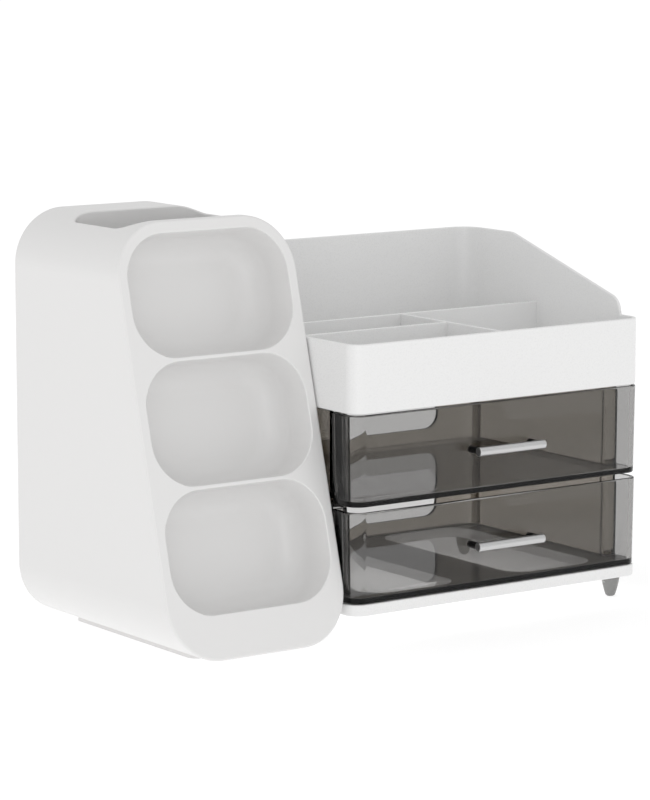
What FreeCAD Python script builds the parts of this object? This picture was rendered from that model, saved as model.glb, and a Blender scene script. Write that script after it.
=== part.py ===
"""Desk organiser: a cabinet with two sliding drawers under an open tray, and a brush tower beside it.

Millimetres, +Z up.  The origin is the middle of the footprint, on the surface the organiser stands on.
X runs from the tower on the left to the cabinet on the right; Y runs from the drawer fronts to the back.
"""
import FreeCAD, Part
import os
import Sketcher
from FreeCAD import Placement, Rotation, Vector

doc = FreeCAD.newDocument("organiser")

# ---------------------------------------------------------------- driving dimensions

SIZES = {
    # cabinet outline
    "cabinet_width": 190.0,
    "cabinet_depth": 152.0,
    "front_corner_radius": 8.3,
    "back_corner_radius": 13.0,
    # base plate and its feet
    "foot_height": 12.2,
    "foot_inset": 10.9,
    "left_foot_setback": 38.0,
    "foot_top_radius": 5.3,
    "foot_bottom_radius": 2.4,
    "foot_stem_radius": 2.4,
    "foot_stem_length": 3.6,
    "hole_clearance": 0.1,
    "base_thickness": 6.0,
    "base_front_border": 12.0,
    "base_back_border": 16.0,
    "base_side_border": 20.0,
    "base_rib_width": 36.0,
    "base_opening_radius": 13.0,
    "base_edge_radius": 0.7,
    # drawer housing
    "housing_setback": 21.0,
    "housing_height": 98.2,
    "housing_wall": 2.2,
    "housing_back_recess": 12.8,
    "housing_inner_radius": 3.0,
    "rail_width": 9.6,
    "rail_thickness": 2.0,
    "window_width": 122.0,
    "window_height": 25.0,
    "window_lift": 9.2,
    "window_radius": 8.5,
    # drawers
    "drawer_pitch": 50.0,
    "drawer_height": 47.3,
    "drawer_back_clearance": 0.7,
    "drawer_wall": 2.4,
    "drawer_floor": 2.4,
    "drawer_cap_depth": 20.5,
    "drawer_body_inset": 8.3,
    "drawer_back_radius": 12.0,
    "drawer_step_radius": 2.0,
    "drawer_bottom_radius": 1.5,
    "slide_clearance": 0.3,
    # end stops: a nub on each drawer side meets a nub on the housing wall
    "nub_reach": 4.0,
    "nub_length": 3.0,
    "nub_height": 4.0,
    "nub_back_inset": 18.0,
    # bar handles
    "handle_length": 43.5,
    "handle_radius": 2.4,
    "handle_stand_off": 8.0,
    "handle_lift": 23.4,
    "post_radius": 1.9,
    "post_inset": 2.3,
    "post_socket_depth": 1.2,
    # tray
    "tray_band_height": 35.7,
    "tray_back_height": 72.2,
    "tray_wall": 2.0,
    "tray_floor": 2.0,
    "tray_nose_setback": 17.0,
    "tray_nose_height": 43.6,
    "tray_nose_radius": 9.5,
    "tray_shoulder_setback": 110.0,
    "tray_shoulder_radius": 14.0,
    "divider_thickness": 2.0,
    "rear_divider_setback": 87.3,
    "left_divider_setback": 46.0,
    "long_divider_place": 95.0,
    # brush tower
    "tower_width": 107.0,
    "tower_gap": 0.8,
    "tower_lift": 0.6,
    "tower_height": 214.2,
    "tower_corner_radius": 28.5,
    "tower_lean": 14.75,
    "tower_wall": 2.4,
    "fascia_thickness": 2.4,
    "opening_side_margin": 5.5,
    "opening_bottom": 23.9,
    "opening_top_margin": 6.1,
    "opening_gap": 2.0,
    "opening_radius": 23.4,
    "opening_lip_radius": 0.7,
    "fascia_edge_radius": 1.2,
    "shell_back_radius": 2.0,
    "hole_lip_radius": 0.9,
    "pocket_depth": 32.0,
    "pocket_wall": 1.5,
    "pocket_end_radius": 14.0,
    "top_hole_width": 78.0,
    "top_hole_front": 62.5,
    "top_hole_back": 119.5,
    "top_hole_front_radius": 14.0,
    "top_hole_back_radius": 8.0,
    "collar_gap": 1.0,
    "bottom_hole_border": 5.0,
    # cover plate under the tower
    "cover_width": 68.0,
    "cover_front": 14.3,
    "cover_back": 128.0,
    "cover_radius": 6.0,
    "cover_thickness": 2.2,
}

sheet = doc.addObject("Spreadsheet::Sheet", "sizes")
for row, (alias, value) in enumerate(SIZES.items(), start=1):
    sheet.set(f"A{row}", alias)
    sheet.set(f"B{row}", str(value))
    sheet.setAlias(f"B{row}", alias)
doc.recompute()


def size(alias):
    """The expression that reads one driving dimension."""
    return f"sizes.{alias}"


def number(expression):
    """The present value of an expression, for picking edges and for sketch start geometry."""
    value = sheet.evalExpression(str(expression))
    return float(getattr(value, "Value", value))


# ---------------------------------------------------------------- shared places

TOTAL_WIDTH = f"({size('tower_width')} + {size('tower_gap')} + {size('cabinet_width')})"
HANDLE_REACH = f"({size('handle_stand_off')} + {size('handle_radius')})"
TOWER_LEFT = f"(-{TOTAL_WIDTH} / 2)"
TOWER_RIGHT = f"({TOWER_LEFT} + {size('tower_width')})"
TOWER_MIDDLE = f"({TOWER_LEFT} + {size('tower_width')} / 2)"
TOWER_TOP = f"({size('tower_lift')} + {size('tower_height')})"
LEFT = f"({TOWER_RIGHT} + {size('tower_gap')})"
RIGHT = f"({LEFT} + {size('cabinet_width')})"
MIDDLE = f"({LEFT} + {size('cabinet_width')} / 2)"
FRONT = f"(({HANDLE_REACH} - {size('cabinet_depth')}) / 2)"
BACK = f"({FRONT} + {size('cabinet_depth')})"
BASE_TOP = f"({size('foot_height')} + {size('base_thickness')})"
HOUSING_TOP = f"({BASE_TOP} + {size('housing_height')})"
HOUSING_FRONT = f"({FRONT} + {size('housing_setback')})"
PANEL_BACK = f"({BACK} - {size('housing_back_recess')})"
PANEL_FRONT = f"({PANEL_BACK} - {size('housing_wall')})"
INNER_LEFT = f"({LEFT} + {size('housing_wall')})"
INNER_RIGHT = f"({RIGHT} - {size('housing_wall')})"
DRAWER_BOTTOM = {
    "lower": f"({BASE_TOP} + {size('slide_clearance')})",
    "upper": f"({BASE_TOP} + {size('slide_clearance')} + {size('drawer_pitch')})",
}
BODY_LEFT = f"({LEFT} + {size('drawer_body_inset')})"
BODY_RIGHT = f"({RIGHT} - {size('drawer_body_inset')})"
DRAWER_BACK = f"({PANEL_FRONT} - {size('drawer_back_clearance')})"
HANDLE_LEFT = f"({MIDDLE} - {size('handle_length')} / 2)"
HANDLE_RIGHT = f"({MIDDLE} + {size('handle_length')} / 2)"
HANDLE_Y = f"({FRONT} - {size('handle_stand_off')})"
RUN = f"tan({size('tower_lean')})"
FASCIA_DEPTH = f"({size('fascia_thickness')} / cos({size('tower_lean')}))"
FACE_LENGTH = f"({TOWER_TOP} / cos({size('tower_lean')}))"
OPENING_SPAN = f"({FACE_LENGTH} - {size('opening_bottom')} - {size('opening_top_margin')})"
OPENING_HEIGHT = f"(({OPENING_SPAN} - 2 * {size('opening_gap')}) / 3)"


# ---------------------------------------------------------------- helpers

def bind(thing, **expressions):
    """Ties properties of an object to expressions; a double underscore stands for a dot."""
    for name, expression in expressions.items():
        thing.setExpression(name.replace("__", "."), str(expression))
    return thing


def plane(body, role):
    """One of the body's own origin planes."""
    return next(f for f in body.Origin.OriginFeatures if f.Role == role)


def sketch(body, name, role, offset="0"):
    """A sketch on an origin plane of the body, moved along that plane's normal by an expression."""
    drawing = body.newObject("Sketcher::SketchObject", name)
    drawing.AttachmentSupport = (plane(body, role), [""])
    drawing.MapMode = "FlatFace"
    bind(drawing, AttachmentOffset__Base__z=offset)
    return drawing


def fix_distance(drawing, kind, geometry, point, expression):
    """A horizontal or vertical distance from the sketch origin, tied to an expression."""
    value = number(expression)
    index = drawing.addConstraint(Sketcher.Constraint(kind, -1, 1, geometry, point, value))
    drawing.setExpression(f"Constraints[{index}]", str(expression))


def polygon(drawing, points):
    """A closed outline of straight lines through points given as pairs of expressions."""
    corners = [Vector(number(x), number(y), 0) for x, y in points]
    first = drawing.GeometryCount
    count = len(corners)
    for k in range(count):
        drawing.addGeometry(Part.LineSegment(corners[k], corners[(k + 1) % count]), False)
    for k in range(count):
        following = first + (k + 1) % count
        drawing.addConstraint(Sketcher.Constraint("Coincident", first + k, 2, following, 1))
    for k, (x, y) in enumerate(points):
        fix_distance(drawing, "DistanceX", first + k, 1, x)
        fix_distance(drawing, "DistanceY", first + k, 1, y)


def outline(drawing, sides, radii):
    """A closed outline of level and upright lines with rounded corners, drawn anticlockwise.

    sides is a list of ("x" or "y", expression): each line's fixed coordinate.  radii[k] is the
    expression of the radius between side k and the next one, or None for a sharp corner.
    """
    count = len(sides)
    place = [number(expression) for _, expression in sides]
    corners = []
    for k, (kind, _) in enumerate(sides):
        following = place[(k + 1) % count]
        corners.append(Vector(place[k], following, 0) if kind == "x" else Vector(following, place[k], 0))
    radius = [number(r) if r else 0.0 for r in radii]
    along = [(corners[k] - corners[k - 1]).normalize() for k in range(count)]
    first = drawing.GeometryCount
    for k in range(count):
        start = corners[k - 1] + along[k] * radius[k - 1]
        end = corners[k] - along[k] * radius[k]
        drawing.addGeometry(Part.LineSegment(start, end), False)
    for k, (kind, expression) in enumerate(sides):
        upright = kind == "x"
        drawing.addConstraint(Sketcher.Constraint("Vertical" if upright else "Horizontal", first + k))
        fix_distance(drawing, "DistanceX" if upright else "DistanceY", first + k, 1, expression)
    for k in range(count):
        this, following = first + k, first + (k + 1) % count
        if not radii[k]:
            drawing.addConstraint(Sketcher.Constraint("Coincident", this, 2, following, 1))
            continue
        ahead = along[(k + 1) % count]
        start = corners[k] - along[k] * radius[k]
        end = corners[k] + ahead * radius[k]
        middle = corners[k] + (ahead - along[k]) * (radius[k] * (1 - 0.5 ** 0.5))
        arc = drawing.addGeometry(Part.Arc(start, middle, end), False)
        left_turn = along[k].cross(ahead).z > 0
        begin, finish = (1, 2) if left_turn else (2, 1)
        drawing.addConstraint(Sketcher.Constraint("Tangent", this, 2, arc, begin))
        drawing.addConstraint(Sketcher.Constraint("Tangent", arc, finish, following, 1))
        index = drawing.addConstraint(Sketcher.Constraint("Radius", arc, radius[k]))
        drawing.setExpression(f"Constraints[{index}]", str(radii[k]))


def rounded(drawing, left, bottom, right, top, radius, top_radius=None):
    """A rectangle with rounded corners; the two upper corners may have their own radius."""
    upper = top_radius or radius
    outline(drawing, [("y", bottom), ("x", right), ("y", top), ("x", left)], [radius, upper, upper, radius])


def circle(drawing, x, y, radius):
    """A full circle at a point given by expressions."""
    index = drawing.addGeometry(Part.Circle(Vector(number(x), number(y), 0), Vector(0, 0, 1), number(radius)))
    fix_distance(drawing, "DistanceX", index, 3, x)
    fix_distance(drawing, "DistanceY", index, 3, y)
    tie = drawing.addConstraint(Sketcher.Constraint("Radius", index, number(radius)))
    drawing.setExpression(f"Constraints[{tie}]", str(radius))


def new_body(label):
    body = doc.addObject("PartDesign::Body", label)
    body.Label = label
    return body


def pad(body, drawing, length, reverse=False):
    feature = body.newObject("PartDesign::Pad", drawing.Name + "_pad")
    feature.Profile = drawing
    feature.Reversed = reverse
    bind(feature, Length=length)
    return feature


def pocket(body, drawing, length=None, reverse=False):
    """A cut along the sketch's back side by an expression, or through everything both ways."""
    feature = body.newObject("PartDesign::Pocket", drawing.Name + "_cut")
    feature.Profile = drawing
    feature.Reversed = reverse
    if length is None:
        feature.Type = 1
        feature.Midplane = True
    else:
        bind(feature, Length=length)
    return feature


def edges_where(feature, test):
    """Names of the feature's edges whose shape passes a test."""
    doc.recompute()
    return [f"Edge{k}" for k, edge in enumerate(feature.Shape.Edges, start=1) if test(edge)]


def fillet(body, feature, radius, test):
    names = edges_where(feature, test)
    if not names:
        raise RuntimeError(f"{body.Label}: no edge to round")
    rounding = body.newObject("PartDesign::Fillet", feature.Name + "_round")
    rounding.Base = (feature, names)
    bind(rounding, Radius=radius)
    doc.recompute()
    return rounding


def level(edge, z, slack=0.01):
    """True when an edge lies in the level plane at z."""
    box = edge.BoundBox
    return abs(box.ZMin - z) < slack and abs(box.ZMax - z) < slack


def joined(name, *parts):
    union = doc.addObject("Part::MultiFuse", name)
    union.Shapes = list(parts)
    union.Refine = True
    return union


def shared(name, *parts):
    common = doc.addObject("Part::MultiCommon", name)
    common.Shapes = list(parts)
    common.Refine = True
    return common


def cut(name, base, tool):
    difference = doc.addObject("Part::Cut", name)
    difference.Base = base
    difference.Tool = tool
    difference.Refine = True
    return difference


def rounded_edges(name, base, radius, test):
    """The base with every edge that passes a test rounded."""
    doc.recompute()
    rounding = doc.addObject("Part::Fillet", name)
    rounding.Base = base
    value = number(radius)
    rounding.Edges = [(k, value, value) for k, e in enumerate(base.Shape.Edges, start=1) if test(e)]
    return rounding


def cylinder(name, x, y, z, radius, height, turn=None):
    """A cylinder from its base centre; turn is the rotation of its axis away from +Z."""
    solid = doc.addObject("Part::Cylinder", name)
    if turn is not None:
        solid.Placement = Placement(Vector(0, 0, 0), turn)
    return bind(solid, Radius=radius, Height=height,
                Placement__Base__x=x, Placement__Base__y=y, Placement__Base__z=z)


def block(name, x0, y0, z0, x1, y1, z1):
    """A box between two corners given by expressions."""
    solid = doc.addObject("Part::Box", name)
    return bind(solid, Length=f"({x1}) - ({x0})", Width=f"({y1}) - ({y0})", Height=f"({z1}) - ({z0})",
                Placement__Base__x=x0, Placement__Base__y=y0, Placement__Base__z=z0)


TO_BACK = Rotation(Vector(1, 0, 0), -90)
TO_RIGHT = Rotation(Vector(0, 1, 0), 90)

nodes = []


def node(thing, label):
    """Registers a finished sub-part under the name of its file."""
    thing.Label = label
    nodes.append(thing)
    return thing


# ---------------------------------------------------------------- cabinet base and feet

FOOT_X = {"left": f"({LEFT} + {size('foot_inset')})", "right": f"({RIGHT} - {size('foot_inset')})"}
FOOT_SETBACK = {"left": size("left_foot_setback"), "right": size("foot_inset")}


def foot_places():
    """Name and centre of each foot; the left pair stands further in from the front and the back."""
    for side, x in FOOT_X.items():
        yield side, "front", x, f"({FRONT} + {FOOT_SETBACK[side]})"
        yield side, "rear", x, f"({BACK} - {FOOT_SETBACK[side]})"


def make_base():
    """White base plate: two large openings beside a front-to-back rib, and sockets for the feet."""
    body = new_body("base_plate")
    edge = sketch(body, "base_outline", "XY_Plane", size("foot_height"))
    rounded(edge, LEFT, FRONT, RIGHT, BACK, size("front_corner_radius"), size("back_corner_radius"))
    pad(body, edge, size("base_thickness"))
    openings = sketch(body, "base_openings", "XY_Plane", BASE_TOP)
    near = f"({FRONT} + {size('base_front_border')})"
    far = f"({BACK} - {size('base_back_border')})"
    half_rib = f"{size('base_rib_width')} / 2"
    radius = size("base_opening_radius")
    border = size("base_side_border")
    rounded(openings, f"({LEFT} + {border})", near, f"({MIDDLE} - {half_rib})", far, radius)
    rounded(openings, f"({MIDDLE} + {half_rib})", near, f"({RIGHT} - {border})", far, radius)
    pocket(body, openings)
    sockets = sketch(body, "foot_sockets", "XY_Plane", size("foot_height"))
    socket_radius = f"({size('foot_stem_radius')} + {size('hole_clearance')})"
    for _, _, x, y in foot_places():
        circle(sockets, x, y, socket_radius)
    drilled = pocket(body, sockets, f"{size('foot_stem_length')} + {size('hole_clearance')}", reverse=True)
    top, bottom = number(BASE_TOP), number(size("foot_height"))
    socket_width = 2 * number(socket_radius) + 0.01
    fillet(body, drilled, size("base_edge_radius"),
           lambda e: level(e, top) or (level(e, bottom) and e.BoundBox.DiagonalLength > 2 * socket_width))
    return node(body, "base_plate")


def make_foot(side, end, x, y):
    """Translucent tapered peg with a stem that plugs into the base plate."""
    peg = doc.addObject("Part::Cone", f"foot_{end}_{side}_peg")
    bind(peg, Radius1=size("foot_bottom_radius"), Radius2=size("foot_top_radius"), Height=size("foot_height"),
         Placement__Base__x=x, Placement__Base__y=y)
    stem = cylinder(f"foot_{end}_{side}_stem", x, y, size("foot_height"),
                    size("foot_stem_radius"), size("foot_stem_length"))
    return node(joined(f"foot_{end}_{side}_solid", peg, stem), f"foot_{end}_{side}")


# ---------------------------------------------------------------- drawer housing

RAIL_TOP = f"({DRAWER_BOTTOM['upper']} - {size('slide_clearance')})"
RAIL_BOTTOM = f"({RAIL_TOP} - {size('rail_thickness')})"
STOP_FLOOR = {"lower": BASE_TOP, "upper": RAIL_TOP}


def make_housing():
    """Smoke shell round both drawers: side walls, a recessed back panel with two windows, rails, stops."""
    body = new_body("housing_walls")
    edge = sketch(body, "housing_outline", "XY_Plane", BASE_TOP)
    outline(edge, [("y", HOUSING_FRONT), ("x", RIGHT), ("y", BACK), ("x", LEFT)],
            [None, size("back_corner_radius"), size("back_corner_radius"), None])
    pad(body, edge, size("housing_height"))
    room = sketch(body, "housing_room", "XY_Plane", HOUSING_TOP)
    beyond = f"({HOUSING_FRONT} - {size('housing_wall')})"
    behind = f"({BACK} + {size('housing_wall')})"
    inner = size("housing_inner_radius")
    outline(room, [("y", beyond), ("x", INNER_RIGHT), ("y", PANEL_FRONT), ("x", INNER_LEFT)],
            [None, inner, inner, None])
    outline(room, [("y", PANEL_BACK), ("x", INNER_RIGHT), ("y", behind), ("x", INNER_LEFT)], [None] * 4)
    pocket(body, room)
    windows = sketch(body, "housing_windows", "XZ_Plane", f"-({PANEL_BACK})")
    half = f"{size('window_width')} / 2"
    for which in ("lower", "upper"):
        sill = f"({DRAWER_BOTTOM[which]} + {size('window_lift')})"
        rounded(windows, f"({MIDDLE} - {half})", sill, f"({MIDDLE} + {half})",
                f"({sill} + {size('window_height')})", size("window_radius"))
    pocket(body, windows)
    pieces = [body]
    ledge_back = f"({PANEL_FRONT} + {size('housing_wall')} / 2)"
    reach = f"({size('rail_width')} + {size('housing_wall')} / 2)"
    nub_reach = f"({size('nub_reach')} + {size('housing_wall')} / 2)"
    for side, wall in (("left", f"({LEFT} + {size('housing_wall')} / 2)"),
                       ("right", f"({RIGHT} - {size('housing_wall')} / 2)")):
        inward = (lambda far: (wall, f"{wall} + {far}")) if side == "left" else (
            lambda far: (f"{wall} - {far}", wall))
        near, far = inward(reach)
        pieces.append(block(f"rail_{side}", near, HOUSING_FRONT, RAIL_BOTTOM, far, ledge_back, RAIL_TOP))
        near, far = inward(nub_reach)
        for which, floor in STOP_FLOOR.items():
            low = f"({floor} - {size('rail_thickness')} / 2)" if which == "upper" else floor
            high = f"({floor} + {size('slide_clearance')} + {size('nub_height')})"
            pieces.append(block(f"stop_{which}_{side}", near, HOUSING_FRONT, low,
                                far, f"{HOUSING_FRONT} + {size('nub_length')}", high))
    return node(joined("housing_solid", *pieces), "drawer_housing")


# ---------------------------------------------------------------- drawers and their handles

def drawer_sides(inset):
    """The drawer's plan outline, a wide front cap and a narrower body, moved inward by an expression."""
    return [("y", f"({FRONT} + {inset})"), ("x", f"({RIGHT} - {inset})"),
            ("y", f"({FRONT} + {size('drawer_cap_depth')} - {inset})"), ("x", f"({BODY_RIGHT} - {inset})"),
            ("y", f"({DRAWER_BACK} - {inset})"), ("x", f"({BODY_LEFT} + {inset})"),
            ("y", f"({FRONT} + {size('drawer_cap_depth')} - {inset})"), ("x", f"({LEFT} + {inset})")]


def make_drawer(which):
    """Clear smoke drawer: one moulding with a wide front cap, holes for the handle posts and end nubs."""
    label = f"drawer_{which}"
    bottom = DRAWER_BOTTOM[which]
    body = new_body(label + "_tub")
    plan = sketch(body, label + "_plan", "XY_Plane", bottom)
    corner, step, back = size("front_corner_radius"), size("drawer_step_radius"), size("drawer_back_radius")
    outline(plan, drawer_sides("0"), [corner, step, step, back, back, step, step, corner])
    outer = pad(body, plan, size("drawer_height"))
    level_z = number(bottom)
    rounded_tub = fillet(body, outer, size("drawer_bottom_radius"), lambda e: level(e, level_z))
    inside = sketch(body, label + "_inside", "XY_Plane", f"({bottom} + {size('drawer_height')})")
    wall = size("drawer_wall")
    slim_corner, slim_back = f"({corner} - {wall})", f"({back} - {wall})"
    outline(inside, drawer_sides(wall),
            [slim_corner, step, step, slim_back, slim_back, step, step, slim_corner])
    pocket(body, inside, f"{size('drawer_height')} - {size('drawer_floor')}")
    holes = sketch(body, label + "_holes", "XZ_Plane", f"-({FRONT})")
    height = f"({bottom} + {size('handle_lift')})"
    for x in (f"({HANDLE_LEFT} + {size('post_inset')})", f"({HANDLE_RIGHT} - {size('post_inset')})"):
        circle(holes, x, height, f"{size('post_radius')} + {size('hole_clearance')}")
    pocket(body, holes, f"{wall} * 2")
    pieces = [body]
    half_wall = f"{wall} / 2"
    nub_back = f"({DRAWER_BACK} - {size('nub_back_inset')})"
    nub_low = f"({bottom} + {size('drawer_bottom_radius')})"
    for side, near, far in (
            ("left", f"{BODY_LEFT} - {size('nub_reach')}", f"{BODY_LEFT} + {half_wall}"),
            ("right", f"{BODY_RIGHT} - {half_wall}", f"{BODY_RIGHT} + {size('nub_reach')}")):
        pieces.append(block(f"{label}_nub_{side}", near, f"{nub_back} - {size('nub_length')}", nub_low,
                            far, nub_back, f"{bottom} + {size('nub_height')}"))
    return node(joined(label + "_solid", *pieces), label)


def make_handle(which):
    """Polished round bar on two dark posts that plug through the drawer front."""
    height = f"({DRAWER_BOTTOM[which]} + {size('handle_lift')})"
    bar = cylinder(f"bar_{which}_round", HANDLE_LEFT, HANDLE_Y, height,
                   size("handle_radius"), size("handle_length"), TO_RIGHT)
    seat = f"({HANDLE_Y} + {size('handle_radius')} - {size('post_socket_depth')})"
    length = f"({FRONT} + {size('drawer_wall')} - {seat})"
    sockets = []
    posts = []
    for side, x in (("left", f"({HANDLE_LEFT} + {size('post_inset')})"),
                    ("right", f"({HANDLE_RIGHT} - {size('post_inset')})")):
        sockets.append(cylinder(f"socket_{which}_{side}", x, seat, height,
                                f"{size('post_radius')} + {size('hole_clearance')}", length, TO_BACK))
        posts.append((side, cylinder(f"post_{which}_{side}", x, seat, height,
                                     size("post_radius"), length, TO_BACK)))
    node(cut(f"bar_{which}_solid", bar, joined(f"sockets_{which}", *sockets)), f"handle_bar_{which}")
    for side, post in posts:
        node(post, f"handle_post_{which}_{side}")


# ---------------------------------------------------------------- tray

def make_tray():
    """Open white tray: low band in front, a tall back, and three low dividers.

    The right side rises from the band to the back; the left side, beside the tower, stays low.
    """
    body = new_body("top_tray")
    band_top = f"({HOUSING_TOP} + {size('tray_band_height')})"
    top = f"({HOUSING_TOP} + {size('tray_back_height')})"
    edge = sketch(body, "tray_outline", "XY_Plane", HOUSING_TOP)
    rounded(edge, LEFT, FRONT, RIGHT, BACK, size("front_corner_radius"), size("back_corner_radius"))
    pad(body, edge, size("tray_back_height"))
    room = sketch(body, "tray_room", "XY_Plane", top)
    wall = size("tray_wall")
    rounded(room, f"({LEFT} + {wall})", f"({FRONT} + {wall})", f"({RIGHT} - {wall})", f"({BACK} - {wall})",
            f"({size('front_corner_radius')} - {wall})", f"({size('back_corner_radius')} - {wall})")
    pocket(body, room, f"{size('tray_back_height')} - {size('tray_floor')}")
    side = sketch(body, "tray_side_profile", "YZ_Plane", MIDDLE)
    nose = f"({FRONT} + {size('tray_nose_setback')})"
    shoulder = f"({FRONT} + {size('tray_shoulder_setback')})"
    ahead, above = f"({FRONT} - {wall})", f"({top} + {wall})"
    nose_top = f"({HOUSING_TOP} + {size('tray_nose_height')})"
    polygon(side, [(ahead, band_top), (nose, band_top), (nose, nose_top), (shoulder, top),
                   (shoulder, above), (ahead, above)])
    pocket(body, side)
    low_side = sketch(body, "tray_low_side", "YZ_Plane", LEFT)
    polygon(low_side, [(ahead, band_top), (shoulder, band_top), (shoulder, above), (ahead, above)])
    shaped = pocket(body, low_side, f"{size('cabinet_width')} / 2", reverse=True)
    nose_y, nose_z = number(nose), number(nose_top)
    shoulder_y, top_z = number(shoulder), number(top)

    def across(edge_y, edge_z):
        def test(e):
            box = e.BoundBox
            at_y = abs(box.YMin - edge_y) < 0.01 and abs(box.YMax - edge_y) < 0.01
            return at_y and level(e, edge_z)
        return test

    rounded_nose = fillet(body, shaped, size("tray_nose_radius"), across(nose_y, nose_z))
    fillet(body, rounded_nose, size("tray_shoulder_radius"), across(shoulder_y, top_z))
    dividers = sketch(body, "tray_dividers", "XY_Plane", f"({HOUSING_TOP} + {size('tray_floor')} / 2)")
    half_wall = f"{wall} / 2"
    thick = size("divider_thickness")
    rear = f"({FRONT} + {size('rear_divider_setback')})"
    middle = f"({LEFT} + {size('long_divider_place')})"
    low = f"({FRONT} + {size('left_divider_setback')})"
    sharp = [None] * 4
    outline(dividers, [("y", rear), ("x", f"({RIGHT} - {half_wall})"), ("y", f"({rear} + {thick})"),
                       ("x", f"({LEFT} + {half_wall})")], sharp)
    height = f"{size('tray_band_height')} - {size('tray_floor')} / 2"
    pad(body, dividers, height)
    long_one = sketch(body, "tray_long_divider", "XY_Plane", f"({HOUSING_TOP} + {size('tray_floor')} / 2)")
    outline(long_one, [("y", f"({FRONT} + {half_wall})"), ("x", f"({middle} + {thick} / 2)"),
                       ("y", f"({rear} + {thick} / 2)"), ("x", f"({middle} - {thick} / 2)")], sharp)
    pad(body, long_one, height)
    left_one = sketch(body, "tray_left_divider", "XY_Plane", f"({HOUSING_TOP} + {size('tray_floor')} / 2)")
    outline(left_one, [("y", low), ("x", middle), ("y", f"({low} + {thick})"),
                       ("x", f"({LEFT} + {half_wall})")], sharp)
    pad(body, left_one, height)
    return node(body, "top_tray")


# ---------------------------------------------------------------- brush tower

def tower_section(label, inset, front, back, back_radius=None):
    """The tower's rounded section, moved inward by an expression, between two places along Y."""
    body = new_body(label)
    section = sketch(body, label + "_section", "XZ_Plane", f"-({back})")
    rounded(section, f"({TOWER_LEFT} + {inset})", f"({size('tower_lift')} + {inset})",
            f"({TOWER_RIGHT} - {inset})", f"({TOWER_TOP} - {inset})",
            f"({size('tower_corner_radius')} - {inset})")
    solid = pad(body, section, f"({back}) - ({front})")
    if back_radius:
        rear = number(back)
        fillet(body, solid, back_radius, lambda e: e.BoundBox.YMin > rear - 0.01)
    return body


def on_outside(point):
    """True when a point lies on the tower's outer rounded section."""
    radius = number(size("tower_corner_radius"))
    half_width, half_height = number(size("tower_width")) / 2, number(size("tower_height")) / 2
    middle_z = number(size("tower_lift")) + half_height
    across, up = abs(point.x - number(TOWER_MIDDLE)), abs(point.z - middle_z)
    side, end = across - (half_width - radius), up - (half_height - radius)
    if side > 0 and end > 0:
        return abs((side ** 2 + end ** 2) ** 0.5 - radius) < 0.01
    return abs(max(side, end) - radius) < 0.01


def samples(edge):
    """Three points spread along an edge."""
    span = edge.LastParameter - edge.FirstParameter
    return [edge.valueAt(edge.FirstParameter + span * part) for part in (0.1, 0.5, 0.9)]


def leaning_block(label, near, far):
    """A block as wide as the tower between two leaning planes, given by their Y at ground level."""
    body = new_body(label)
    side = sketch(body, label + "_side", "YZ_Plane", TOWER_MIDDLE)
    base, top = f"(-{size('tower_wall')})", f"({TOWER_TOP} + {size('tower_wall')})"
    polygon(side, [(f"({near} + {base} * {RUN})", base), (f"({far} + {base} * {RUN})", base),
                   (f"({far} + {top} * {RUN})", top), (f"({near} + {top} * {RUN})", top)])
    feature = pad(body, side, f"{size('tower_width')} + 2 * {size('tower_wall')}")
    feature.Midplane = True
    return body


def top_hole_column(label, grow, top, depth):
    """The outline of the hole in the top, grown by an expression, reaching down from a level."""
    body = new_body(label)
    rim = sketch(body, label + "_rim", "XY_Plane", top)
    half = f"({size('top_hole_width')} / 2 + {grow})"
    rounded(rim, f"({TOWER_MIDDLE} - {half})", f"({FRONT} + {size('top_hole_front')} - {grow})",
            f"({TOWER_MIDDLE} + {half})", f"({FRONT} + {size('top_hole_back')} + {grow})",
            f"({size('top_hole_front_radius')} + {grow})", f"({size('top_hole_back_radius')} + {grow})")
    pad(body, rim, depth, reverse=True)
    return body


def collar_in_tower():
    """A skirt below the hole in the top; its lower edge runs down parallel with the cups below it."""
    lowest = f"(({FACE_LENGTH} - {size('opening_top_margin')} + {size('pocket_wall')} + {size('collar_gap')})"
    lowest += f" / cos({size('tower_lean')}))"
    front, back = size("top_hole_front"), size("top_hole_back")
    side = new_body("collar_side")
    drawing = sketch(side, "collar_side_profile", "YZ_Plane", TOWER_MIDDLE)
    near, far = f"({front} - 2 * {size('pocket_wall')})", f"({back} + 2 * {size('pocket_wall')})"
    polygon(drawing, [(f"({FRONT} + {near})", f"({lowest} - {near} * {RUN})"),
                      (f"({FRONT} + {far})", f"({lowest} - {far} * {RUN})"),
                      (f"({FRONT} + {far})", TOWER_TOP), (f"({FRONT} + {near})", TOWER_TOP)])
    feature = pad(side, drawing, size("tower_width"))
    feature.Midplane = True
    column = top_hole_column("collar_column", size("pocket_wall"), TOWER_TOP, size("tower_corner_radius"))
    limit = tower_section("collar_limit", f"{size('tower_wall')} / 2", FRONT, BACK)
    return shared("collar", column, side, limit)


def cover_plate(label, border="0", thickness=None):
    """The outline of the plate under the tower, drawn in by a border."""
    body = new_body(label)
    half = f"({size('cover_width')} / 2 - {border})"
    drawing = sketch(body, label + "_plan", "XY_Plane")
    near = f"({FRONT} + {size('cover_front')} + {border})"
    far = f"({FRONT} + {size('cover_back')} - {border})"
    left, right = f"({TOWER_MIDDLE} - {half})", f"({TOWER_MIDDLE} + {half})"
    rounded(drawing, left, near, right, far, size("cover_radius"))
    pad(body, drawing, thickness or size("cover_thickness"))
    return body


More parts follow.
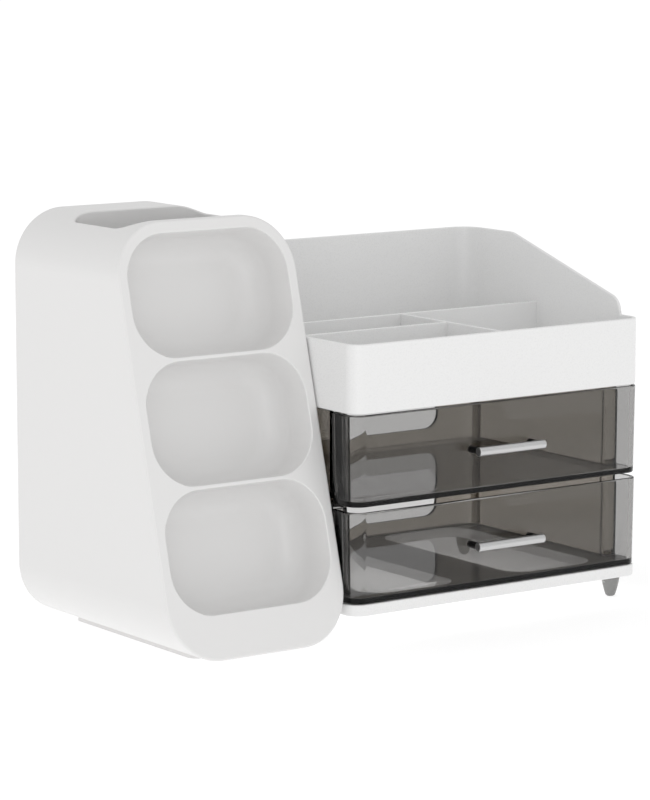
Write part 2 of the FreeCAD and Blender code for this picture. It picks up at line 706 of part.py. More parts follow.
def make_tower():
    """White tower: a shell open at the slanted front, a fascia with three brush pockets, a cover below."""
    beyond = f"({BACK} + {size('tower_height')})"
    inner_face = f"({FRONT} + {FASCIA_DEPTH})"
    wall = size("tower_wall")
    whole = shared("shell_whole",
                   tower_section("shell_block", "0", FRONT, BACK, size("shell_back_radius")),
                   leaning_block("behind_fascia", inner_face, beyond))
    room = tower_section("shell_room", wall, FRONT, f"({BACK} - {wall})")
    top_hole = top_hole_column("top_hole", "0", TOWER_TOP, size("tower_corner_radius"))
    bottom_hole = cover_plate("bottom_hole", size("bottom_hole_border"), f"{size('tower_corner_radius')} / 2")
    hollow = joined("shell_with_collar", cut("shell_hollow", whole, room), collar_in_tower())
    seat = cover_plate("cover_seat")
    shell = cut("shell_solid", hollow, joined("shell_openings", top_hole, bottom_hole, seat))
    hole_near = number(f"{FRONT} + {size('top_hole_front')}") - 0.01
    hole_far = number(f"{FRONT} + {size('top_hole_back')}") + 0.01
    middle_z = number(f"{TOWER_TOP} / 2")

    def hole_lip(e):
        within = e.BoundBox.YMin > hole_near and e.BoundBox.YMax < hole_far
        return within and e.BoundBox.ZMin > middle_z and all(on_outside(p) for p in samples(e))

    node(rounded_edges("shell_rounded", shell, size("hole_lip_radius"), hole_lip), "tower_shell")
    node(cover_plate("tower_cover_plate"), "tower_cover_plate")

    fascia = shared("fascia_plate", tower_section("fascia_block", "0", FRONT, BACK),
                    leaning_block("fascia_slab", FRONT, inner_face))
    cups = pocket_cups("cup_walls", size("pocket_wall"), size("fascia_thickness") + " / 2",
                       f"{size('pocket_depth')} + {size('pocket_wall')}")
    rooms = pocket_cups("cup_rooms", "0", f"-{size('fascia_thickness')}", size("pocket_depth"))
    solid = cut("fascia_solid", joined("fascia_and_cups", fascia, cups), rooms)
    front_y, slope = number(FRONT), number(RUN)

    def on_face(e):
        return all(abs(p.y - front_y - p.z * slope) < 0.01 for p in samples(e))

    edged = rounded_edges("fascia_edged", solid, size("fascia_edge_radius"),
                          lambda e: on_face(e) and all(on_outside(p) for p in samples(e)))
    node(rounded_edges("fascia_lipped", edged, size("opening_lip_radius"),
                       lambda e: on_face(e) and in_openings(e)), "tower_front")


def in_openings(edge):
    """True when an edge runs round one of the three openings of the fascia."""
    reach = number(f"{size('tower_width')} / 2 - {size('opening_side_margin')}") + 0.01
    low = number(f"{size('opening_bottom')} * cos({size('tower_lean')})") - 0.01
    high = number(f"({FACE_LENGTH} - {size('opening_top_margin')}) * cos({size('tower_lean')})") + 0.01
    middle = number(TOWER_MIDDLE)
    return all(abs(p.x - middle) < reach and low < p.z < high for p in samples(edge))


def pocket_cups(label, grow, start, end):
    """Three rounded cups square to the leaning face: sketch X is X, sketch Y runs up the face."""
    lean = Rotation(Vector(1, 0, 0), 90 - number(size("tower_lean")))
    half = f"({size('tower_width')} / 2 - {size('opening_side_margin')} + {grow})"
    cups = []
    for k, which in enumerate(("bottom", "middle", "top")):
        body = new_body(f"{label}_{which}")
        drawing = sketch(body, f"{label}_{which}_plan", "XY_Plane", f"-({end})")
        sill = f"({size('opening_bottom')} + {k} * ({OPENING_HEIGHT} + {size('opening_gap')}))"
        rounded(drawing, f"(-{half})", f"({sill} - {grow})", half,
                f"({sill} + {OPENING_HEIGHT} + {grow})", f"({size('opening_radius')} + {grow})")
        solid = pad(body, drawing, f"({end}) - ({start})")
        deep = -number(end)
        fillet(body, solid, f"{size('pocket_end_radius')} + {grow}", lambda e: level(e, deep))
        body.Placement = Placement(Vector(0, 0, 0), lean)
        bind(body, Placement__Base__x=TOWER_MIDDLE, Placement__Base__y=FRONT)
        body.setExpression("Placement.Rotation.Angle", f"90 - {size('tower_lean')}")
        cups.append(body)
    return joined(label, *cups)


# ---------------------------------------------------------------- build and write

make_base()
for foot in foot_places():
    make_foot(*foot)
make_housing()
for which_drawer in ("lower", "upper"):
    make_drawer(which_drawer)
    make_handle(which_drawer)
make_tray()
make_tower()
doc.recompute()

for thing in doc.Objects:
    if "Invalid" in thing.State or "Error" in thing.State:
        raise RuntimeError(f"{thing.Label}: {thing.State}")
for thing in nodes:
    if thing.Shape.isNull() or not thing.Shape.isValid():
        raise RuntimeError(f"{thing.Label}: bad shape")
    if len(thing.Shape.Solids) != 1:
        raise RuntimeError(f"{thing.Label}: {len(thing.Shape.Solids)} solids")

os.makedirs("parts", exist_ok=True)
for thing in nodes:
    thing.Shape.exportStep(f"parts/{thing.Label}.step")
    box = thing.Shape.BoundBox
    low = f"{box.XMin:.1f} {box.YMin:.1f} {box.ZMin:.1f}"
    high = f"{box.XMax:.1f} {box.YMax:.1f} {box.ZMax:.1f}"
    print(f"{thing.Label}: {low} to {high}")
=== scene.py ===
"""Looks for the desk organiser: a cabinet with two smoke drawers and a tray, and a brush tower."""

import math

import bpy
from mathutils import Euler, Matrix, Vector


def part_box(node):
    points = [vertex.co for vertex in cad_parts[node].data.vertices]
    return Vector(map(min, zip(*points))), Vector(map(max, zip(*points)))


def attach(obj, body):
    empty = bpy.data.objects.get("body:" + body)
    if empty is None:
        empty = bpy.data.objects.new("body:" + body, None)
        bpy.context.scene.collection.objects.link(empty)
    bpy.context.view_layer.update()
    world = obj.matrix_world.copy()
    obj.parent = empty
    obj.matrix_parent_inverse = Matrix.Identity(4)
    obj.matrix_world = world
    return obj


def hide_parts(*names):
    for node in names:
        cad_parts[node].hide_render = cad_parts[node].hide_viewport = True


# Shapes are worked out in millimetres, and Blender counts in metres.
MM = 0.001

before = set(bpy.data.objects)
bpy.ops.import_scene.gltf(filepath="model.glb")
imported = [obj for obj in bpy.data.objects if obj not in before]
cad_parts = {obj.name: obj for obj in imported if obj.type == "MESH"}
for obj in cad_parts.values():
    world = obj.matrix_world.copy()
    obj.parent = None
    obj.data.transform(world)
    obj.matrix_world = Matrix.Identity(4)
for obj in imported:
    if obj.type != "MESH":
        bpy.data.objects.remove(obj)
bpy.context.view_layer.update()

# ---------------------------------------------------------------- places read from the frame


def place(node):
    """Lowest and highest corner of a CAD node, in millimetres."""
    low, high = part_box(node)
    return low / MM, high / MM


TRAY_LOW, TRAY_HIGH = place("top_tray")
BASE_UNDERSIDE = place("base_plate")[0].z
LEFT, FRONT = TRAY_LOW.x, TRAY_LOW.y
RIGHT, BACK = TRAY_HIGH.x, TRAY_HIGH.y
# Radii of the cabinet's upright corners.
FRONT_CORNER = 8.3
BACK_CORNER = 13.0
# The housing's back panel: how far it stands in front of the tray's back, and its thickness.
PANEL_RECESS = 12.8
PANEL_WALL = 2.2
PANEL_FRONT = BACK - PANEL_RECESS - PANEL_WALL

# ---------------------------------------------------------------- mesh helpers


def link(name, shape, material, smooth=True):
    """A mesh object from points in millimetres and faces."""
    verts, faces = shape
    mesh = bpy.data.meshes.new(name)
    mesh.from_pydata([Vector(v) * MM for v in verts], [], faces)
    mesh.validate()
    mesh.polygons.foreach_set("use_smooth", [smooth] * len(mesh.polygons))
    mesh.materials.append(material)
    mesh.update()
    piece = bpy.data.objects.new(name, mesh)
    bpy.context.scene.collection.objects.link(piece)
    if smooth:
        flatten(piece)
    return piece


def flatten(piece):
    """Keeps the broad faces flat, so that only the rounded edges bend the light."""
    shading = piece.modifiers.new("flat_faces", "WEIGHTED_NORMAL")
    shading.mode = "FACE_AREA"
    shading.weight = 90
    shading.keep_sharp = False


def soften(piece, width):
    """Rounds the sharp edges of a CAD mesh by a width in millimetres."""
    weld = piece.modifiers.new("weld", "WELD")
    weld.merge_threshold = 0.002 * MM
    edge = piece.modifiers.new("soft_edges", "BEVEL")
    edge.width = width * MM
    edge.segments = 3
    edge.limit_method = "ANGLE"
    edge.angle_limit = math.radians(40)
    edge.harden_normals = False
    flatten(piece)


def loft(loops):
    """Points and faces of a closed surface through loops of equal length."""
    count = len(loops[0])
    verts = [point for loop in loops for point in loop]
    faces = []
    for k in range(len(loops) - 1):
        low, high = k * count, (k + 1) * count
        for j in range(count):
            following = (j + 1) % count
            faces.append((low + j, low + following, high + following, high + j))
    last = (len(loops) - 1) * count
    faces.append(tuple(reversed(range(count))))
    faces.append(tuple(last + j for j in range(count)))
    return verts, faces


def combine(*shapes):
    """Several sets of points and faces as one."""
    verts, faces = [], []
    for more_verts, more_faces in shapes:
        start = len(verts)
        verts.extend(more_verts)
        faces.extend(tuple(start + k for k in face) for face in more_faces)
    return verts, faces


def plan(corners, inset, steps, along=None):
    """A closed level outline moved inward by an inset, as points (x, y).

    corners is a list of (x, y, radius) anticlockwise, with level and upright sides.  along gives
    extra places on a side: side k runs from corner k - 1 to corner k.
    """
    count = len(corners)
    points = []
    for k, (x, y, radius) in enumerate(corners):
        corner = Vector((x, y))
        last = Vector(corners[k - 1][:2])
        following = Vector(corners[(k + 1) % count][:2])
        before, after = (corner - last).normalized(), (following - corner).normalized()
        inward_before = Vector((-before.y, before.x))
        inward_after = Vector((-after.y, after.x))
        for extra in (along or {}).get(k, []):
            side = corner + inward_before * inset
            points.append((side.x, extra) if abs(before.x) < 0.5 else (extra, side.y))
        turns_left = before.x * after.y - before.y * after.x > 0
        for step in range(steps + 1):
            turn = step / steps * math.pi / 2
            blend = inward_before * math.cos(turn) + inward_after * math.sin(turn)
            if not turns_left:
                spot = corner - (inward_before + inward_after) * radius + blend * (radius + inset)
            elif inset < radius:
                spot = corner + (inward_before + inward_after) * radius - blend * (radius - inset)
            else:
                spot = corner + (inward_before + inward_after) * inset
            points.append((spot.x, spot.y))
    return points


def quarter_turns(steps):
    """Angles from nothing to a quarter turn."""
    return [k / steps * math.pi / 2 for k in range(steps + 1)]


def rounded_rectangle(left, bottom, right, top, radius, back_radius=None):
    """Corners for plan(), with a radius of their own for the back pair if it is given."""
    upper = radius if back_radius is None else back_radius
    return [(right, bottom, radius), (right, top, upper), (left, top, upper), (left, bottom, radius)]


def tub_section(bottom, top, wall, floor, low_radius, rim_radius, draft, steps=6):
    """The (inset, height) path of a tub's wall: up the outside to the rim, then down the inside."""
    def lean(height):
        """How far the wall leans inward at a height."""
        return draft * (1 - (height - bottom) / (top - bottom))

    turns = quarter_turns(steps)
    path = []
    for turn in turns:
        height = bottom + low_radius * (1 - math.cos(turn))
        path.append((low_radius * (1 - math.sin(turn)) + lean(height), height))
    for turn in turns:
        path.append((rim_radius * (1 - math.cos(turn)), top - rim_radius * (1 - math.sin(turn))))
    for turn in reversed(turns):
        path.append((wall - rim_radius * (1 - math.cos(turn)), top - rim_radius * (1 - math.sin(turn))))
    for turn in turns:
        height = bottom + floor + low_radius * (1 - math.sin(turn))
        path.append((wall + lean(height) + low_radius * (1 - math.cos(turn)), height))
    return path


def level_loops(corners, path, steps=10):
    """The outline's loops at each inset and height of a path."""
    return [[(x, y, height) for x, y in plan(corners, inset, steps)] for inset, height in path]


def turned(profile, steps, axis, origin):
    """A closed solid of revolution from points (radius, height) along an axis, X or Z."""
    loops = []
    for radius, height in profile:
        loop = []
        for k in range(steps):
            turn = 2 * math.pi * k / steps
            a, b = radius * math.cos(turn), radius * math.sin(turn)
            spot = (a, b, height) if axis == "Z" else (height, a, b)
            loop.append(tuple(s + o for s, o in zip(spot, origin)))
        loops.append(loop)
    return loft(loops)


def slab(low, high, radius=0.5, steps=4):
    """A box with rounded upright edges and a rounded top and bottom rim."""
    corners = rounded_rectangle(low[0], low[1], high[0], high[1], radius)
    turns = quarter_turns(steps)
    path = [(radius * (1 - math.sin(t)), low[2] + radius * (1 - math.cos(t))) for t in turns]
    path += [(radius * (1 - math.cos(t)), high[2] - radius * (1 - math.sin(t))) for t in turns]
    return loft(level_loops(corners, path, steps))


# ---------------------------------------------------------------- materials


def material(name):
    """A new material with its node tree, shader and output."""
    made = bpy.data.materials.new(name)
    made.use_nodes = True
    tree = made.node_tree
    return made, tree, tree.nodes["Principled BSDF"], tree.nodes["Material Output"]


def wire(tree, source, output, target, name):
    """Joins an output of one node to a named input of another."""
    tree.links.new(source.outputs[output], target.inputs[name])


def noise(tree, scale, detail):
    """Noise in the object's own space; scale is in repeats per metre."""
    spot = tree.nodes.new("ShaderNodeTexCoord")
    grain = tree.nodes.new("ShaderNodeTexNoise")
    grain.inputs["Scale"].default_value = scale
    grain.inputs["Detail"].default_value = detail
    wire(tree, spot, "Object", grain, "Vector")
    return grain


def vary_roughness(tree, shader, grain, low, high):
    """Roughness that follows the grain between two limits."""
    spread = tree.nodes.new("ShaderNodeMapRange")
    spread.inputs["From Min"].default_value = 0.3
    spread.inputs["From Max"].default_value = 0.7
    spread.inputs["To Min"].default_value = low
    spread.inputs["To Max"].default_value = high
    wire(tree, grain, "Fac", spread, "Value")
    wire(tree, spread, "Result", shader, "Roughness")


def vary_color(tree, shader, grain, first, second):
    """A base colour that follows the grain between two colours."""
    tint = tree.nodes.new("ShaderNodeMix")
    tint.data_type = "RGBA"
    tint.inputs["A"].default_value = (*first, 1)
    tint.inputs["B"].default_value = (*second, 1)
    wire(tree, grain, "Fac", tint, "Factor")
    wire(tree, tint, "Result", shader, "Base Color")


def bump(tree, shader, grain, strength, height):
    """Relief that follows the grain; height is in metres."""
    relief = tree.nodes.new("ShaderNodeBump")
    relief.inputs["Strength"].default_value = strength
    relief.inputs["Distance"].default_value = height
    wire(tree, grain, "Fac", relief, "Height")
    wire(tree, relief, "Normal", shader, "Normal")


def white_plastic(name, color, rough):
    """Injection-moulded white plastic: satin gloss and a fine moulded grain."""
    made, tree, shader, _ = material(name)
    shader.inputs["Base Color"].default_value = (*color, 1)
    grain = noise(tree, scale=2000.0, detail=1.0)
    vary_roughness(tree, shader, grain, rough - 0.015, rough + 0.015)
    shader.inputs["IOR"].default_value = 1.5
    shader.inputs["Specular IOR Level"].default_value = 0.5
    bump(tree, shader, grain, strength=0.01, height=0.00004)
    return made


def smoke_plastic(name, absorb, tint, surface):
    """Clear smoke-grey polystyrene whose tint deepens with thickness.

    absorb is the density of the volume per metre.  Light on its way to a surface passes through, so
    that the plastic throws only a pale shadow.
    """
    made, tree, shader, out = material(name)
    shader.inputs["Base Color"].default_value = (*surface, 1)
    shader.inputs["Transmission Weight"].default_value = 1.0
    shader.inputs["IOR"].default_value = 1.59
    shader.inputs["Specular Tint"].default_value = (0.3, 0.3, 0.3, 1)
    waves = noise(tree, scale=18.0, detail=1.0)
    vary_roughness(tree, shader, waves, 0.0024, 0.0056)
    bump(tree, shader, waves, strength=0.02, height=0.0002)
    path = tree.nodes.new("ShaderNodeLightPath")
    clear = tree.nodes.new("ShaderNodeBsdfTransparent")
    clear.inputs["Color"].default_value = (0.93, 0.93, 0.93, 1)
    mix = tree.nodes.new("ShaderNodeMixShader")
    wire(tree, path, "Is Shadow Ray", mix, "Fac")
    wire(tree, shader, "BSDF", mix, 1)
    wire(tree, clear, "BSDF", mix, 2)
    wire(tree, mix, "Shader", out, "Surface")
    depth = tree.nodes.new("ShaderNodeVolumeAbsorption")
    depth.inputs["Color"].default_value = (*tint, 1)
    depth.inputs["Density"].default_value = absorb
    wire(tree, depth, "Volume", out, "Volume")
    return made


def polished_metal(name):
    """Drawn bright metal with faint lengthwise draw lines."""
    made, tree, shader, _ = material(name)
    shader.inputs["Metallic"].default_value = 1.0
    spot = tree.nodes.new("ShaderNodeTexCoord")
    stretch = tree.nodes.new("ShaderNodeMapping")
    stretch.inputs["Scale"].default_value = (30.0, 2500.0, 2500.0)
    wire(tree, spot, "Object", stretch, "Vector")
    lines = tree.nodes.new("ShaderNodeTexNoise")
    lines.inputs["Scale"].default_value = 1.0
    lines.inputs["Detail"].default_value = 3.0
    wire(tree, stretch, "Vector", lines, "Vector")
    vary_color(tree, shader, lines, (0.56, 0.56, 0.56), (0.64, 0.64, 0.64))
    vary_roughness(tree, shader, lines, 0.26, 0.36)
    bump(tree, shader, lines, strength=0.05, height=0.00002)
    return made


def dark_metal(name):
    """Nearly black coated metal."""
    made, tree, shader, _ = material(name)
    grain = noise(tree, scale=900.0, detail=3.0)
    vary_color(tree, shader, grain, (0.008, 0.008, 0.008), (0.02, 0.02, 0.02))
    vary_roughness(tree, shader, grain, 0.25, 0.4)
    shader.inputs["Metallic"].default_value = 0.6
    return made


def frosted_foot(name):
    """Translucent grey elastomer."""
    made, tree, shader, _ = material(name)
    cloud = noise(tree, scale=150.0, detail=1.0)
    vary_color(tree, shader, cloud, (0.3, 0.3, 0.295), (0.35, 0.35, 0.34))
    vary_roughness(tree, shader, cloud, 0.18, 0.3)
    shader.inputs["Transmission Weight"].default_value = 0.5
    shader.inputs["IOR"].default_value = 1.45
    return made


CABINET_WHITE = white_plastic("cabinet_white", (0.85, 0.85, 0.847), 0.28)
TOWER_WHITE = white_plastic("tower_white", (0.8, 0.795, 0.79), 0.3)
COVER_WHITE = white_plastic("cover_white", (0.76, 0.75, 0.745), 0.45)
DRAWER_SMOKE = smoke_plastic("drawer_smoke", 235.0, (0.26, 0.25, 0.24), (0.93, 0.93, 0.93))
HOUSING_SMOKE = smoke_plastic("housing_smoke", 330.0, (0.32, 0.25, 0.15), (0.58, 0.56, 0.53))
HANDLE_METAL = polished_metal("handle_metal")
POST_DARK = dark_metal("post_dark")
FOOT_GREY = frosted_foot("foot_grey")


def dress(node, finish):
    """Gives a CAD node's object its finish."""
    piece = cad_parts[node]
    piece.data.materials.clear()
    piece.data.materials.append(finish)
    piece.data.polygons.foreach_set("material_index", [0] * len(piece.data.polygons))
    return piece


def stand_in(piece, body, slot, *nodes):
    """The piece rides on a body and replaces CAD nodes, which it hides; slot is not used."""
    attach(piece, body)
    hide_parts(*nodes)


# ---------------------------------------------------------------- tray

TRAY_WALL = 2.0
TRAY_FLOOR = 2.0
BAND_TOP = TRAY_LOW.z + 35.7
NOSE_Y = FRONT + 17.0
NOSE_TOP = TRAY_LOW.z + 43.6
NOSE_RADIUS = 9.5
SHOULDER_Y = FRONT + 110.0
SHOULDER_RADIUS = 14.0
HEEL_RADIUS = 1.2
RIM = 0.75
UNDER_RADIUS = 0.8
FLOOR_RADIUS = 3.0
DIVIDER = 2.0
REAR_DIVIDER_Y = FRONT + 87.3
LOW_DIVIDER_Y = FRONT + 46.0
MIDDLE_DIVIDER_X = LEFT + 95.0
LEVEL, UP = Vector((1, 0)), Vector((0, 1))


def arc_between(corner, before, after, radius, steps):
    """Points and outward normals of a round between two directions, in the Y-Z plane."""
    turn = math.acos(max(-1.0, min(1.0, before.dot(after))))
    reach = radius * math.tan(turn / 2)
    side = 1.0 if before.x * after.y - before.y * after.x > 0 else -1.0
    start = corner - before * reach
    centre = start + Vector((-before.y, before.x)) * side * radius
    spoke = start - centre
    spots = []
    for k in range(steps + 1):
        angle = turn * k / steps
        c, s = math.cos(angle * side), math.sin(angle * side)
        spot = centre + Vector((spoke.x * c - spoke.y * s, spoke.x * s + spoke.y * c))
        out = (spot - centre).normalized() * -side
        spots.append((spot.x, spot.y, out.x, out.y))
    return spots


def right_edge():
    """The top edge of the right side from front to back: (y, z, normal y, normal z)."""
    slope = Vector((SHOULDER_Y - NOSE_Y, TRAY_HIGH.z - NOSE_TOP)).normalized()
    heel = arc_between(Vector((NOSE_Y, BAND_TOP)), LEVEL, UP, HEEL_RADIUS, 5)
    nose = arc_between(Vector((NOSE_Y, NOSE_TOP)), UP, slope, NOSE_RADIUS, 12)
    shoulder = arc_between(Vector((SHOULDER_Y, TRAY_HIGH.z)), slope, LEVEL, SHOULDER_RADIUS, 6)
    between = []
    for k in range(1, 8):
        share = k / 8
        y = nose[-1][0] + (shoulder[0][0] - nose[-1][0]) * share
        z = nose[-1][1] + (shoulder[0][1] - nose[-1][1]) * share
        between.append((y, z, nose[-1][2], nose[-1][3]))
    return heel + nose + between + shoulder


def left_edge():
    """The top edge of the left side from front to back: low beside the tower, then up to the back."""
    heel = arc_between(Vector((SHOULDER_Y, BAND_TOP)), LEVEL, UP, HEEL_RADIUS, 5)
    nose = arc_between(Vector((SHOULDER_Y, TRAY_HIGH.z)), UP, LEVEL, SHOULDER_RADIUS, 12)
    return heel + nose


def spread(low, high, count):
    """Evenly spaced numbers from low to high."""
    return [low + (high - low) * k / (count - 1) for k in range(count)]


def divider_walls(floor):
    """Three low walls, each let half a wall into what it meets and half the floor's thickness below it."""
    half, under = DIVIDER / 2, floor - TRAY_FLOOR / 2
    left, right = LEFT + TRAY_WALL / 2, RIGHT - TRAY_WALL / 2
    front = FRONT + TRAY_WALL / 2
    middle_low, middle_high = MIDDLE_DIVIDER_X - half, MIDDLE_DIVIDER_X + half
    return [slab((left, REAR_DIVIDER_Y, under), (right, REAR_DIVIDER_Y + DIVIDER, BAND_TOP)),
            slab((middle_low, front, under), (middle_high, REAR_DIVIDER_Y + half, BAND_TOP)),
            slab((left, LOW_DIVIDER_Y, under), (MIDDLE_DIVIDER_X, LOW_DIVIDER_Y + DIVIDER, BAND_TOP))]


def make_tray():
    """The tray as one wall path from its underside over the stepped rim to its floor, with its dividers."""
    right, left = right_edge(), left_edge()
    right_ground = spread(FRONT + FRONT_CORNER + 1.0, right[-1][0], len(right))
    left_ground = spread(left[0][0], left[-1][0], len(left))
    corners = rounded_rectangle(LEFT, FRONT, RIGHT, BACK, FRONT_CORNER, BACK_CORNER)
    turn_steps = 10
    along = {1: right_ground, 3: list(reversed(left_ground))}
    corner_points = turn_steps + 1

    def level_loop(inset, z):
        """A loop at one height, with the same points as a loop of the rim."""
        return [(x, y, z) for x, y in plan(corners, inset, turn_steps, along)]

    def rim_loop(inset, depth):
        """A loop along the top edge, lowered into the wall by a depth square to the edge."""
        low = [(None, BAND_TOP - depth)] * corner_points
        high = [(None, TRAY_HIGH.z - depth)] * corner_points
        rising = [(y - ny * depth, z - nz * depth) for y, z, ny, nz in right]
        falling = [(y - ny * depth, z - nz * depth) for y, z, ny, nz in reversed(left)]
        heights = low + rising + high + high + falling + low
        flat = plan(corners, inset, turn_steps, along)
        return [(x, y if edge_y is None else edge_y, z) for (x, y), (edge_y, z) in zip(flat, heights)]

    turns = quarter_turns(6)
    floor = TRAY_LOW.z + TRAY_FLOOR
    loops = []
    for t in turns:
        height = TRAY_LOW.z + UNDER_RADIUS * (1 - math.cos(t))
        loops.append(level_loop(UNDER_RADIUS * (1 - math.sin(t)), height))
    for t in turns:
        loops.append(rim_loop(RIM * (1 - math.cos(t)), RIM * (1 - math.sin(t))))
    for t in reversed(turns):
        loops.append(rim_loop(TRAY_WALL - RIM * (1 - math.cos(t)), RIM * (1 - math.sin(t))))
    for t in turns:
        height = floor + FLOOR_RADIUS * (1 - math.sin(t))
        loops.append(level_loop(TRAY_WALL + FLOOR_RADIUS * (1 - math.cos(t)), height))
    piece = link("tray", combine(loft(loops), *divider_walls(floor)), CABINET_WHITE)
    stand_in(piece, "organiser", "cabinet_white", "top_tray")


# ---------------------------------------------------------------- drawers and handles

DRAWER_WALL = 2.4
DRAWER_FLOOR = 2.4
DRAWER_DRAFT = 0.6
DRAWER_LOW_RADIUS = 0.7
DRAWER_RIM_RADIUS = 0.8
DRAWER_BACK_RADIUS = 12.0
DRAWER_STEP_RADIUS = 1.5
DRAWER_BACK_GAP = 0.7
DRAWER_BACK = PANEL_FRONT - DRAWER_BACK_GAP
CAP_BACK = FRONT + 20.5
BODY_INSET = 8.3
HANDLE_EDGE = 0.45


def drawer_outline():
    """A wide front part with rounded corners and a narrower body behind it."""
    right, left = RIGHT - BODY_INSET, LEFT + BODY_INSET
    return [(RIGHT, FRONT, FRONT_CORNER), (RIGHT, CAP_BACK, DRAWER_STEP_RADIUS),
            (right, CAP_BACK, DRAWER_STEP_RADIUS), (right, DRAWER_BACK, DRAWER_BACK_RADIUS),
            (left, DRAWER_BACK, DRAWER_BACK_RADIUS), (left, CAP_BACK, DRAWER_STEP_RADIUS),
            (LEFT, CAP_BACK, DRAWER_STEP_RADIUS), (LEFT, FRONT, FRONT_CORNER)]


def make_drawer(which):
    """One drawer's tub, with its sides leaning in slightly towards the floor."""
    low, high = place(f"drawer_{which}")
    path = tub_section(low.z, high.z, DRAWER_WALL, DRAWER_FLOOR, DRAWER_LOW_RADIUS,
                       DRAWER_RIM_RADIUS, DRAWER_DRAFT)
    piece = link(f"{which}_drawer_tub", loft(level_loops(drawer_outline(), path)), DRAWER_SMOKE)
    stand_in(piece, f"{which}_drawer", "drawer_smoke", f"drawer_{which}")


def make_handle(which):
    """One drawer's round bar with softened ends, and the finish of its two posts."""
    low, high = place(f"handle_bar_{which}")
    radius = (high.z - low.z) / 2
    left_end = [(radius - HANDLE_EDGE * (1 - math.sin(t)), low.x + HANDLE_EDGE * (1 - math.cos(t)))
                for t in quarter_turns(5)]
    right_end = [(r, low.x + high.x - x) for r, x in reversed(left_end)]
    centre = (0, (low.y + high.y) / 2, (low.z + high.z) / 2)
    piece = link(f"{which}_handle_bar", turned(left_end + right_end, 48, "X", centre), HANDLE_METAL)
    stand_in(piece, f"{which}_drawer", "handle_metal", f"handle_bar_{which}")
    for side in ("left", "right"):
        dress(f"handle_post_{which}_{side}", POST_DARK)


# ---------------------------------------------------------------- feet

FOOT_TOP_RADIUS = 5.3
FOOT_TIP_RADIUS = 2.1
FOOT_TIP_HEIGHT = 0.25
FOOT_TIP = [(0.6, 0.0), (1.5, 0.05), (FOOT_TIP_RADIUS - 0.2, FOOT_TIP_HEIGHT)]
FOOT_STEM_RADIUS = 2.4
FOOT_FULLNESS = 0.62
FOOT_RINGS = 12


def make_foot(name):
    """A tapered peg with full sides, a rounded tip and a stem up into the base."""
    low, high = place(name)
    centre = ((low.x + high.x) / 2, (low.y + high.y) / 2, 0)
    profile = list(FOOT_TIP)
    for k in range(FOOT_RINGS):
        share = (k + 0.5) / (FOOT_RINGS - 0.5)
        radius = FOOT_TIP_RADIUS + (FOOT_TOP_RADIUS - FOOT_TIP_RADIUS) * share ** FOOT_FULLNESS
        profile.append((radius, FOOT_TIP_HEIGHT + (BASE_UNDERSIDE - FOOT_TIP_HEIGHT) * share))
    profile += [(FOOT_STEM_RADIUS, BASE_UNDERSIDE), (FOOT_STEM_RADIUS, high.z)]
    piece = link(name + "_peg", turned(profile, 40, "Z", centre), FOOT_GREY)
    stand_in(piece, "organiser", "foot_clear_grey", name)


# ---------------------------------------------------------------- build

HOUSING_EDGE = 0.35

make_tray()
for which in ("lower", "upper"):
    make_drawer(which)
    make_handle(which)
for end in ("front", "rear"):
    for side in ("left", "right"):
        make_foot(f"foot_{end}_{side}")
dress("base_plate", CABINET_WHITE)
soften(dress("drawer_housing", HOUSING_SMOKE), HOUSING_EDGE)
dress("tower_shell", TOWER_WHITE)
dress("tower_front", TOWER_WHITE)
dress("tower_cover_plate", COVER_WHITE)

# ---------------------------------------------------------------- floor, lights and camera

FLOOR_REACH = 40000.0
FLOOR_GREY = 0.5
FLOOR_GLOW = 0.67
SKY_STRENGTH = 0.79
# Name, place and aim in metres, width and height in metres, watts.  The last one lies between the
# base plate and the floor, and lights the ground that is seen through the base plate's openings.
LAMPS = [("key", (-1.0, -1.4, 0.3), (0, 0, 0.1), (0.6, 0.5), 2.0),
         ("left", (-1.6, 0.9, 0.5), (0, 0, 0.1), (0.25, 0.9), 0.25),
         ("under", (0.056, 0.005, 0.0118), (0.056, 0.005, 0), (0.16, 0.125), 0.06)]
# The photograph's camera: millimetres from the tray's front left corner, and height above the floor.
CAMERA_X, CAMERA_Y, CAMERA_Z = -1002.72, -1384.53, 389.65
CAMERA_PITCH = math.radians(8.815)
CAMERA_YAW = math.radians(35.423)
FOCAL_PIXELS = 3438.6
FRAME_WIDTH = 650


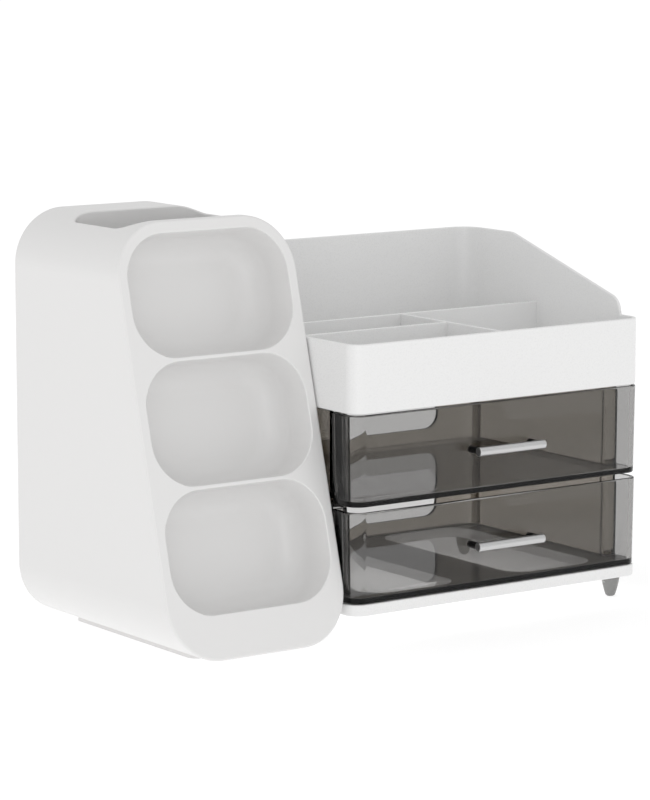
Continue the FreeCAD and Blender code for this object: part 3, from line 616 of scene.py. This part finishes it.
def make_stage():
    """A matt floor with a glow of its own, so that the ground is white with hardly a shadow."""
    made, _, shader, _ = material("floor_white")
    shader.inputs["Base Color"].default_value = (FLOOR_GREY, FLOOR_GREY, FLOOR_GREY, 1)
    shader.inputs["Roughness"].default_value = 1.0
    shader.inputs["Specular IOR Level"].default_value = 0.0
    shader.inputs["Emission Color"].default_value = (1, 1, 1, 1)
    shader.inputs["Emission Strength"].default_value = FLOOR_GLOW
    far = FLOOR_REACH
    floor = link("floor", ([(-far, -far, 0), (far, -far, 0), (far, far, 0), (-far, far, 0)],
                           [(0, 1, 2, 3)]), made, False)


def area_light(name, spot, target, size, power):
    """A rectangular lamp at a spot, aimed at a target."""
    lamp = bpy.data.lights.new(name, "AREA")
    lamp.shape = "RECTANGLE"
    lamp.size, lamp.size_y = size
    lamp.energy = power
    holder = bpy.data.objects.new(name, lamp)
    bpy.context.scene.collection.objects.link(holder)
    holder.location = Vector(spot)
    holder.rotation_euler = (Vector(target) - Vector(spot)).to_track_quat("-Z", "Y").to_euler()


def make_lights():
    """An even white studio round the object, and the lamps."""
    world = bpy.data.worlds.new("studio")
    bpy.context.scene.world = world
    world.use_nodes = True
    sky = world.node_tree.nodes["Background"]
    sky.inputs["Color"].default_value = (1, 1, 1, 1)
    sky.inputs["Strength"].default_value = SKY_STRENGTH
    for lamp in LAMPS:
        area_light(*lamp)


def make_camera():
    """The camera of the photograph, found from the object's straight edges."""
    lens = bpy.data.cameras.new("camera")
    lens.sensor_fit = "HORIZONTAL"
    lens.sensor_width = 36.0
    lens.lens = FOCAL_PIXELS / FRAME_WIDTH * lens.sensor_width
    lens.clip_end = 50.0
    holder = bpy.data.objects.new("camera", lens)
    bpy.context.scene.collection.objects.link(holder)
    holder.location = Vector((LEFT + CAMERA_X, FRONT + CAMERA_Y, CAMERA_Z)) * MM
    holder.rotation_euler = Euler((math.pi / 2 - CAMERA_PITCH, 0, -CAMERA_YAW), "XYZ")
    bpy.context.scene.camera = holder


make_stage()
make_lights()
make_camera()
bpy.context.scene.view_settings.view_transform = "Standard"

bpy.context.view_layer.update()
